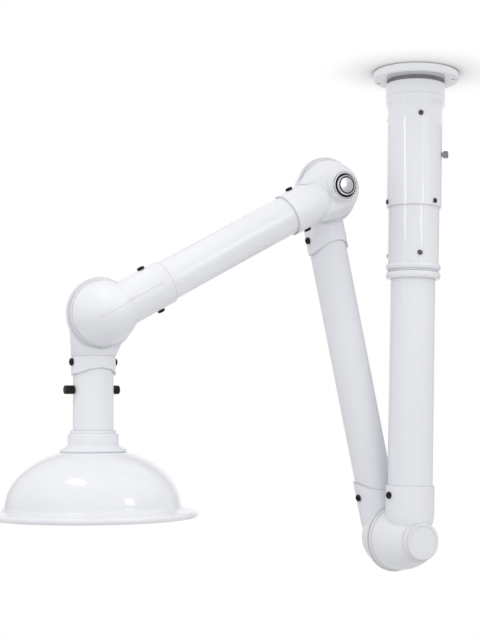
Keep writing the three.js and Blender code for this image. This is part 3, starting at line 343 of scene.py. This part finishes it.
def finish_material(name, look):
    """A finish with cloudy colour, uneven gloss, a fine surface and worn edges, and, where its look asks,
    painted shade in recesses.
    """
    material = bpy.data.materials.new(name)
    material.use_nodes = True
    tree = material.node_tree
    bevel = add_node(tree, "ShaderNodeBevel", {"Radius": look["edge"]}, samples=EDGE_SAMPLES)
    rounded = bevel.outputs["Normal"]
    cloud = between(tree, noise(tree, look["cloud_scale"], CLOUD_DETAIL), *CLOUD_RANGE, 0, 1)
    colour = mix_colour(tree, cloud, look["colour"], look["cloud_colour"])
    patches = between(tree, noise(tree, look["wear_scale"], WEAR_DETAIL), *WEAR_RANGE, 0, look["wear"])
    worn = combined(tree, "MULTIPLY", edge_share(tree, rounded), patches)
    colour = mix_colour(tree, worn, colour, look["worn_colour"])
    # Painted shade: where ambient occlusion finds a recess, the colour is painted towards a near-black
    if "recess" in look:
        painted_shade = between(tree, openness(tree, look["recess"], PAINTED_SHADE_SAMPLES), *PAINTED_SHADE_RANGE, 1, 0)
        colour = mix_colour(tree, painted_shade, colour, look["recess_colour"])
    stretch = look.get("stretch", EVEN)
    gloss = noise(tree, look["gloss_scale"], GLOSS_DETAIL, stretch)
    grain = noise(tree, look["grain_scale"], GRAIN_DETAIL, stretch)
    bump = {"Strength": look["grain"], "Distance": look["grain_height"], "Height": grain, "Normal": rounded}
    surface = {
        "Base Color": colour,
        "Roughness": between(tree, gloss, *GLOSS_RANGE, *look["roughness"]),
        "Normal": add_node(tree, "ShaderNodeBump", bump).outputs["Normal"],
        "Metallic": look.get("metallic", 0),
        "Specular IOR Level": look.get("specular", PLAIN_SPECULAR),
    }
    shader = tree.nodes["Principled BSDF"]
    for socket, value in surface.items():
        feed(tree, shader.inputs[socket], value)
    return material


materials = {name: finish_material(f"{name}_finish", look) for name, look in LOOKS.items()}


def finish_of(name):
    """The finish of a node: its own, or its slot's."""
    return materials[OWN_LOOKS.get(name, slot_of[name])]


def dress(name, node):
    """Shades a CAD node smoothly, apart from its real edges, and gives it its finish."""
    mesh = node.data
    mesh.polygons.foreach_set("use_smooth", [True] * len(mesh.polygons))
    mesh.edges.foreach_set("use_edge_sharp", [False] * len(mesh.edges))
    if "custom_normal" in mesh.attributes:
        mesh.attributes.remove(mesh.attributes["custom_normal"])
    node.modifiers.new("weld", "WELD").merge_threshold = WELD_DISTANCE
    node.modifiers.new("edges", "EDGE_SPLIT").split_angle = SMOOTH_ANGLE
    node.modifiers.new("flats", "WEIGHTED_NORMAL").mode = "FACE_AREA"
    mesh.materials.clear()
    mesh.materials.append(finish_of(name))


for name, node in nodes.items():
    dress(name, node)


def corners(name):
    """A CAD node's own corner points, each once."""
    points = np.array([vertex.co for vertex in nodes[name].data.vertices])
    return np.unique(points.round(CORNER_DECIMALS), axis=0)


def measured(points, middle, axis):
    """Points as heights along an axis through a middle, and as radii round it."""
    offsets = points - middle
    heights = offsets @ axis
    return heights, np.linalg.norm(offsets - np.outer(heights, axis), axis=1)


def standing(middle, axis):
    """A frame in a middle with Z along an axis."""
    place = Vector(axis).to_track_quat("Z", "Y").to_matrix().to_4x4()
    place.translation = Vector(middle)
    return place


def turned_frame(name):
    """A frame in the middle of a round CAD node, with Z along its axis towards its wider end, and the
    heights and radii of its corners."""
    points = corners(name)
    middle = points.mean(0)
    spread, ways = np.linalg.eigh(np.cov((points - middle).T))
    axis = ways[:, 0] if spread[1] - spread[0] > spread[2] - spread[1] else ways[:, 2]
    heights, radii = measured(points, middle, axis)
    if heights[radii > WIDEST_SHARE * radii.max()].mean() < heights.mean():
        axis, heights = -axis, -heights
    return standing(middle, axis), heights, radii


def axis_frame(name, joint):
    """A frame on a joint with Z along its axis, and the heights and radii of a node's corners in it."""
    middle = Vector(joints[joint]["pos_m"])
    axis = Vector(joints[joint]["axis"])
    heights, radii = measured(corners(name), np.array(middle), np.array(axis))
    return standing(middle, axis), heights, radii


def add_mesh(name, shape):
    """A smooth object with sharp real edges."""
    mesh = bpy.data.meshes.new(name)
    shape.to_mesh(mesh)
    shape.free()
    mesh.polygons.foreach_set("use_smooth", [True] * len(mesh.polygons))
    mesh.set_sharp_from_angle(angle=SMOOTH_ANGLE)
    made = bpy.data.objects.new(name, mesh)
    scene.collection.objects.link(made)
    return made


def skin(name, rings, closed=False):
    """An object through rings of points. A closed one joins its last ring to its first, and an open one
    has a face over each end."""
    shape = bmesh.new()
    rows = [[shape.verts.new(point) for point in ring] for ring in rings]
    following = rows[1:] + rows[:1] if closed else rows[1:]
    for low, high in zip(rows, following):
        for i in range(len(low)):
            j = (i + 1) % len(low)
            shape.faces.new((low[i], low[j], high[j], high[i]))
    if not closed:
        shape.faces.new(rows[0])
        shape.faces.new(rows[-1])
    bmesh.ops.recalc_face_normals(shape, faces=shape.faces)
    return add_mesh(name, shape)


def loft(name, place, stations, sides, closed=False):
    """An object through rings round the Z of a frame. A station is a height and a radius, which may
    depend on the angle."""
    angles = [2 * math.pi * i / sides for i in range(sides)]
    rings = []
    for height, radius in stations:
        ring = []
        for angle in angles:
            reach = radius(angle) if callable(radius) else radius
            ring.append(place @ Vector((reach * math.cos(angle), reach * math.sin(angle), height)))
        rings.append(ring)
    return skin(name, rings, closed)


def stand_for(made, name):
    """Lets a finer piece take a CAD node's place, body and finish."""
    made.data.materials.append(finish_of(name))
    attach(made, nodes[name]["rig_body"])
    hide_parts(name)


def hexagon(radius):
    """The radius of a hexagon at an angle, from the radius of its corners."""
    sixth = math.pi / 3
    return lambda angle: radius * math.cos(sixth / 2) / math.cos(angle % sixth - sixth / 2)


def quarter(start, end, steps):
    """Heights and radii of a quarter ellipse from its widest point to its top."""
    (low, wide), (high, narrow) = start, end
    turns = [math.pi / 2 * i / steps for i in range(steps + 1)]
    return [
        (low + (high - low) * math.sin(turn), narrow + (wide - narrow) * math.cos(turn)) for turn in turns
    ]


def round_lip(outer, top, width):
    """Heights and radii over a half-round lip, from its outside to its inside."""
    half = width / 2
    turns = [math.pi * i / (2 * DOME_STEPS) for i in range(2 * DOME_STEPS + 1)]
    return [(top - half + half * math.sin(turn), outer - half + half * math.cos(turn)) for turn in turns]


def oval(middle, size, start, end, steps):
    """Heights and radii along an ellipse between two angles, from its side towards smaller heights."""
    turns = [start + (end - start) * i / steps for i in range(steps + 1)]
    return [(middle[0] - size[0] * math.sin(turn), middle[1] + size[1] * math.cos(turn)) for turn in turns]


def swept(start, pull, end, steps):
    """Heights and radii along a curve that leaves for a point and arrives from it."""
    shares = [i / steps for i in range(steps + 1)]
    return [
        tuple((1 - u) ** 2 * a + 2 * u * (1 - u) * b + u * u * c for a, b, c in zip(start, pull, end))
        for u in shares
    ]


def finer_screw(name):
    """A domed head with a hexagon key hole, on the CAD screw's shank."""
    place, heights, radii = turned_frame(name)
    wide = radii.max()
    seat = heights[radii > WIDEST_SHARE * wide].min()
    tip, top = heights.min(), heights.max()
    shank = radii[heights < tip + WELD_DISTANCE].max()
    high = top - seat
    key = hexagon(SCREW_KEY * wide)
    stations = [
        (tip, shank),
        (seat, shank),
        (seat, wide),
        *quarter((seat + SCREW_EDGE * high, wide), (top, SCREW_TOP * wide), DOME_STEPS),
        (top, key),
        (top - SCREW_KEY_DEPTH * high, key),
    ]
    stand_for(loft(f"{name}_fine", place, stations, SCREW_SIDES), name)


def finer_damper_knob(name):
    """A damper knob with flutes round its side and a rounded end."""
    place, heights, radii = turned_frame(name)
    wide, start, end = radii.max(), heights.min(), heights.max()
    hole = radii[heights < start + WELD_DISTANCE].min()
    blind = heights[radii < hole + WELD_DISTANCE]
    floor = blind[blind < end - WELD_DISTANCE].max()

    def fluted(angle):
        wave = 0.5 - 0.5 * math.cos(DAMPER_KNOB_FLUTES * angle)
        return wide - DAMPER_KNOB_FLUTE_DEPTH * wave ** 2

    stations = [
        (floor, hole),
        (start, hole),
        (start, wide - DAMPER_KNOB_FLUTE_DEPTH),
        (start + DAMPER_KNOB_CHAMFER, wide),
        (start + DAMPER_KNOB_FOOT, wide),
        (start + DAMPER_KNOB_FOOT * FLUTE_CLEARANCE, fluted),
        (end - DAMPER_KNOB_EDGE * FLUTE_CLEARANCE, fluted),
        *quarter((end - DAMPER_KNOB_EDGE, wide), (end, wide - DAMPER_KNOB_EDGE), DOME_STEPS),
    ]
    stand_for(loft(f"{name}_fine", place, stations, DAMPER_KNOB_SIDES), name)


def finer_bezel(name):
    """The chrome cup with a round lip."""
    place, heights, radii = axis_frame(name, "friction_adjuster")
    bore, wide = radii.min(), radii.max()
    low, top = heights.min(), heights.max()
    floor = low + BEZEL_FLOOR
    stations = [
        (low, bore),
        (low, wide),
        *round_lip(wide, top, BEZEL_LIP),
        (floor, wide - BEZEL_LIP),
        (floor, bore),
    ]
    stand_for(loft(f"{name}_fine", place, stations, ADJUSTER_SIDES, closed=True), name)


def finer_adjuster_knob(name):
    """The friction knob: a tapered side, a round rim, and a groove round a crowned face."""
    place, heights, radii = axis_frame(name, "friction_adjuster")
    low, top, wide = heights.min(), heights.max() - KNOB_CROWN, radii.max()
    side = heights[radii > wide - WELD_DISTANCE]
    foot = radii[heights < low + WELD_DISTANCE]
    hole, stem = foot.min(), foot.max()
    rim = wide - KNOB_TAPER
    groove = top - KNOB_GROOVE_DEPTH
    face = rim - KNOB_RIM - KNOB_GROOVE
    thread = heights[(radii < hole + WELD_DISTANCE) & (heights < groove)].max()
    stations = [
        (thread, hole),
        (low, hole),
        (low, stem),
        (side.min(), stem),
        (side.min(), wide),
        (side.max(), wide),
        *round_lip(rim, top, KNOB_RIM),
        (groove, rim - KNOB_RIM),
        (groove, face),
        *quarter((top - KNOB_FACE_EDGE, face), (top, face - KNOB_FACE_EDGE), DOME_STEPS),
        (top + KNOB_CROWN, KNOB_FACE_EDGE),
    ]
    stand_for(loft(f"{name}_fine", place, stations, ADJUSTER_SIDES), name)


def finer_hood(name):
    """The domed hood: an elliptic shell with a soft flare into a lip with a rolled bead. Its wider end is
    its bottom, so heights grow downwards here."""
    place, heights, radii = turned_frame(name)
    top, bottom, mouth, wide = heights.min(), heights.max(), radii.min(), radii.max()
    rise, reach = HOOD_SIZE
    middle = (bottom - HOOD_RISE, 0)
    shelf, beaded = bottom - 2 * BEAD_RADIUS, wide - BEAD_RADIUS
    foot_turn = math.asin((middle[0] - shelf + FLARE) / rise)
    outside = oval(middle, HOOD_SIZE, math.asin((middle[0] - top) / rise), foot_turn, HOOD_STEPS)
    inner_top = top + HOOD_WALL
    inner_turn = math.asin((middle[0] - inner_top) / (rise - HOOD_WALL))
    inside = oval(middle, (rise - HOOD_WALL, reach - HOOD_WALL), foot_turn, inner_turn, HOOD_STEPS)
    bead_middle = (bottom - BEAD_RADIUS, beaded)
    bead = oval(bead_middle, (BEAD_RADIUS, BEAD_RADIUS), math.pi / 2, BEAD_END, HOOD_STEPS)
    flare = swept(outside[-1], (shelf, outside[-1][1]), (shelf, beaded), HOOD_STEPS)
    under = swept(bead[-1], (shelf + HOOD_WALL, inside[0][1]), inside[0], HOOD_STEPS)
    stations = [(top, mouth), *outside, *flare[1:], *bead[1:], *under[1:], *inside[1:], (inner_top, mouth)]
    stand_for(loft(f"{name}_fine", place, stations, HOOD_SIDES, closed=True), name)


def struck(name, starts, way):
    """Where rays from some points strike a CAD node. A ray that misses it gives no point."""
    mesh = nodes[name].data
    faces = [face.vertices[:] for face in mesh.polygons]
    surface = BVHTree.FromPolygons([vertex.co for vertex in mesh.vertices], faces)
    points = [surface.ray_cast(start, way)[0] for start in starts]
    return [point for point in points if point is not None]


def mould_line(name, pivot, way, outward):
    """A thin raised line over a moulded half, along its pipe, laid on the CAD surface."""
    across = outward.cross(way).normalized()
    length = MOULD_LINE_END - MOULD_LINE_START
    places = [MOULD_LINE_START + length * i / MOULD_LINE_STEPS for i in range(MOULD_LINE_STEPS + 1)]
    starts = [pivot + way * place + across * MOULD_LINE_RISE + outward * RAY_START for place in places]
    points = struck(name, starts, -outward)
    half = MOULD_LINE_WIDTH / 2
    section = (
        (-half, -MOULD_LINE_ROOT),
        (-half / 2, MOULD_LINE_HEIGHT),
        (half / 2, MOULD_LINE_HEIGHT),
        (half, -MOULD_LINE_ROOT),
    )
    rings = []
    for i, point in enumerate(points):
        ahead = (points[min(i + 1, len(points) - 1)] - points[max(i - 1, 0)]).normalized()
        normal = ahead.cross(across).normalized()
        if normal.dot(outward) < 0:
            normal = -normal
        rings.append([point + across * side + normal * up for side, up in section])
    made = skin(f"{name}_mould_line", rings)
    made.data.materials.append(materials[MOULD_LINE_LOOK])
    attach(made, nodes[name]["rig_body"])


for name in sorted(nodes):
    if "_screw_" in name:
        finer_screw(name)
for name in ("damper_handle", "damper_end_knob"):
    finer_damper_knob(name)
finer_hood("hood_dome")
finer_bezel("adjuster_bezel")
finer_adjuster_knob("adjuster_knob")
hood_pivot = Vector(joints["hood_elbow"]["pos_m"])
upper_pivot = Vector(joints["upper_elbow"]["pos_m"])
mould_line("hood_elbow_front", hood_pivot, (upper_pivot - hood_pivot).normalized(), Vector((0, -1, 0)))


def stage_material(name, glow):
    """A white surface that shows from its front alone, darker where the part stands close to it. What it
    sheds on the part is even."""
    material = bpy.data.materials.new(name)
    material.use_nodes = True
    tree = material.node_tree
    tree.nodes.clear()
    shade = combined(tree, "POWER", openness(tree, SHADOW_REACH, SHADOW_SAMPLES), SHADOW_DEPTH)
    diffuse = add_node(tree, "ShaderNodeLightPath").outputs["Is Diffuse Ray"]
    strength = between(tree, diffuse, 0, 1, shade, glow)
    white = add_node(tree, "ShaderNodeEmission", {"Strength": strength}).outputs["Emission"]
    clear = add_node(tree, "ShaderNodeBsdfTransparent").outputs["BSDF"]
    behind = add_node(tree, "ShaderNodeNewGeometry").outputs["Backfacing"]
    add_node(tree, "ShaderNodeOutputMaterial", {"Surface": mix_shader(tree, behind, white, clear)})
    return material


def stage_disc(name, radius, height, glow, facing_down):
    """A flat round piece of the stage."""
    shape = bmesh.new()
    bmesh.ops.create_circle(shape, cap_ends=True, segments=STAGE_SIDES, radius=radius)
    bmesh.ops.translate(shape, verts=shape.verts, vec=(0, 0, height))
    if facing_down:
        bmesh.ops.reverse_faces(shape, faces=shape.faces)
    disc = add_mesh(name, shape)
    disc.data.materials.append(stage_material(f"{name}_white", glow))


def backdrop(tree, strength):
    """White light from all round, of a strength."""
    inputs = {"Color": (1, 1, 1), "Strength": strength}
    return add_node(tree, "ShaderNodeBackground", inputs).outputs["Background"]


def light_world():
    """A room that is lighter above and on the photographed side. Gloss shows it with more contrast, and
    shows the white backdrop behind the part as the camera does."""
    world = bpy.data.worlds.new("studio")
    scene.world = world
    world.use_nodes = True
    tree = world.node_tree
    tree.nodes.clear()
    way = add_node(tree, "ShaderNodeTexCoord").outputs["Generated"]
    path = add_node(tree, "ShaderNodeLightPath").outputs
    ahead = Vector((math.sin(CAMERA_YAW), math.cos(CAMERA_YAW), 0))
    turned = Vector((math.sin(CAMERA_YAW + LIGHT_TURN), math.cos(CAMERA_YAW + LIGHT_TURN), 0))
    lightest = Vector((0, 0, math.sin(LIGHT_LEAN))) - turned * math.cos(LIGHT_LEAN)
    room = between(tree, cosine(tree, way, lightest), -1, 1, DARK_SIDE, LIGHT_SIDE)
    mirror_range = (-MIRROR_SPAN, MIRROR_SPAN, MIRROR_DARK, MIRROR_LIGHT)
    mirrored = between(tree, cosine(tree, way, MIRROR_FROM), *mirror_range)
    behind = between(tree, cosine(tree, way, ahead), BACKDROP_EDGE, BACKDROP_CORE, 0, 1)
    glossy = combined(tree, "MAXIMUM", mirrored, behind)
    gloss = combined(tree, "MAXIMUM", path["Is Glossy Ray"], path["Is Transmission Ray"])
    unseen = mix_shader(tree, gloss, backdrop(tree, room), backdrop(tree, glossy))
    shown = mix_shader(tree, path["Is Camera Ray"], unseen, backdrop(tree, 1))
    add_node(tree, "ShaderNodeOutputWorld", {"Surface": shown})


def add_softbox(name, place, aim, size, light, spread):
    """A rectangular lamp. A narrow spread gathers light, so the power comes down to keep the radiance."""
    lamp = bpy.data.lights.new(name, "AREA")
    lamp.shape = "RECTANGLE"
    lamp.size, lamp.size_y = size
    lamp.spread = math.radians(spread)
    half = lamp.spread / 2
    narrowing = 1 - half / math.tan(half)
    lamp.energy = light * narrowing * math.pi * size[0] * size[1]
    box = bpy.data.objects.new(name, lamp)
    box.location = place
    box.rotation_euler = (Vector(aim) - Vector(place)).to_track_quat("-Z", "Y").to_euler()
    box.visible_camera = False
    scene.collection.objects.link(box)


def add_camera():
    """The camera of the photograph, from its yaw, pitch and roll."""
    lens = bpy.data.cameras.new("camera")
    lens.sensor_fit = "VERTICAL"
    lens.sensor_height = SENSOR_HEIGHT
    lens.lens = FOCAL_PIXELS / IMAGE_HEIGHT * SENSOR_HEIGHT
    level = math.cos(CAMERA_PITCH)
    ahead = Vector((math.sin(CAMERA_YAW) * level, math.cos(CAMERA_YAW) * level, math.sin(CAMERA_PITCH)))
    right = ahead.cross(Vector((0, 0, 1))).normalized()
    up = right.cross(ahead)
    rolled = Matrix.Rotation(-CAMERA_ROLL, 3, ahead)
    turn = Matrix((rolled @ right, rolled @ up, -ahead)).transposed().to_4x4()
    camera = bpy.data.objects.new("camera", lens)
    camera.matrix_world = Matrix.Translation(CAMERA_PLACE) @ turn
    scene.collection.objects.link(camera)
    scene.camera = camera


stage_disc("ceiling", CEILING_RADIUS, CEILING_GAP, CEILING_GLOW, facing_down=True)
stage_disc("floor", FLOOR_RADIUS, -FLOOR_DROP, FLOOR_GLOW, facing_down=False)
light_world()
for name, box in SOFTBOXES.items():
    add_softbox(name, **box)
add_camera()
scene.view_settings.view_transform = "Standard"
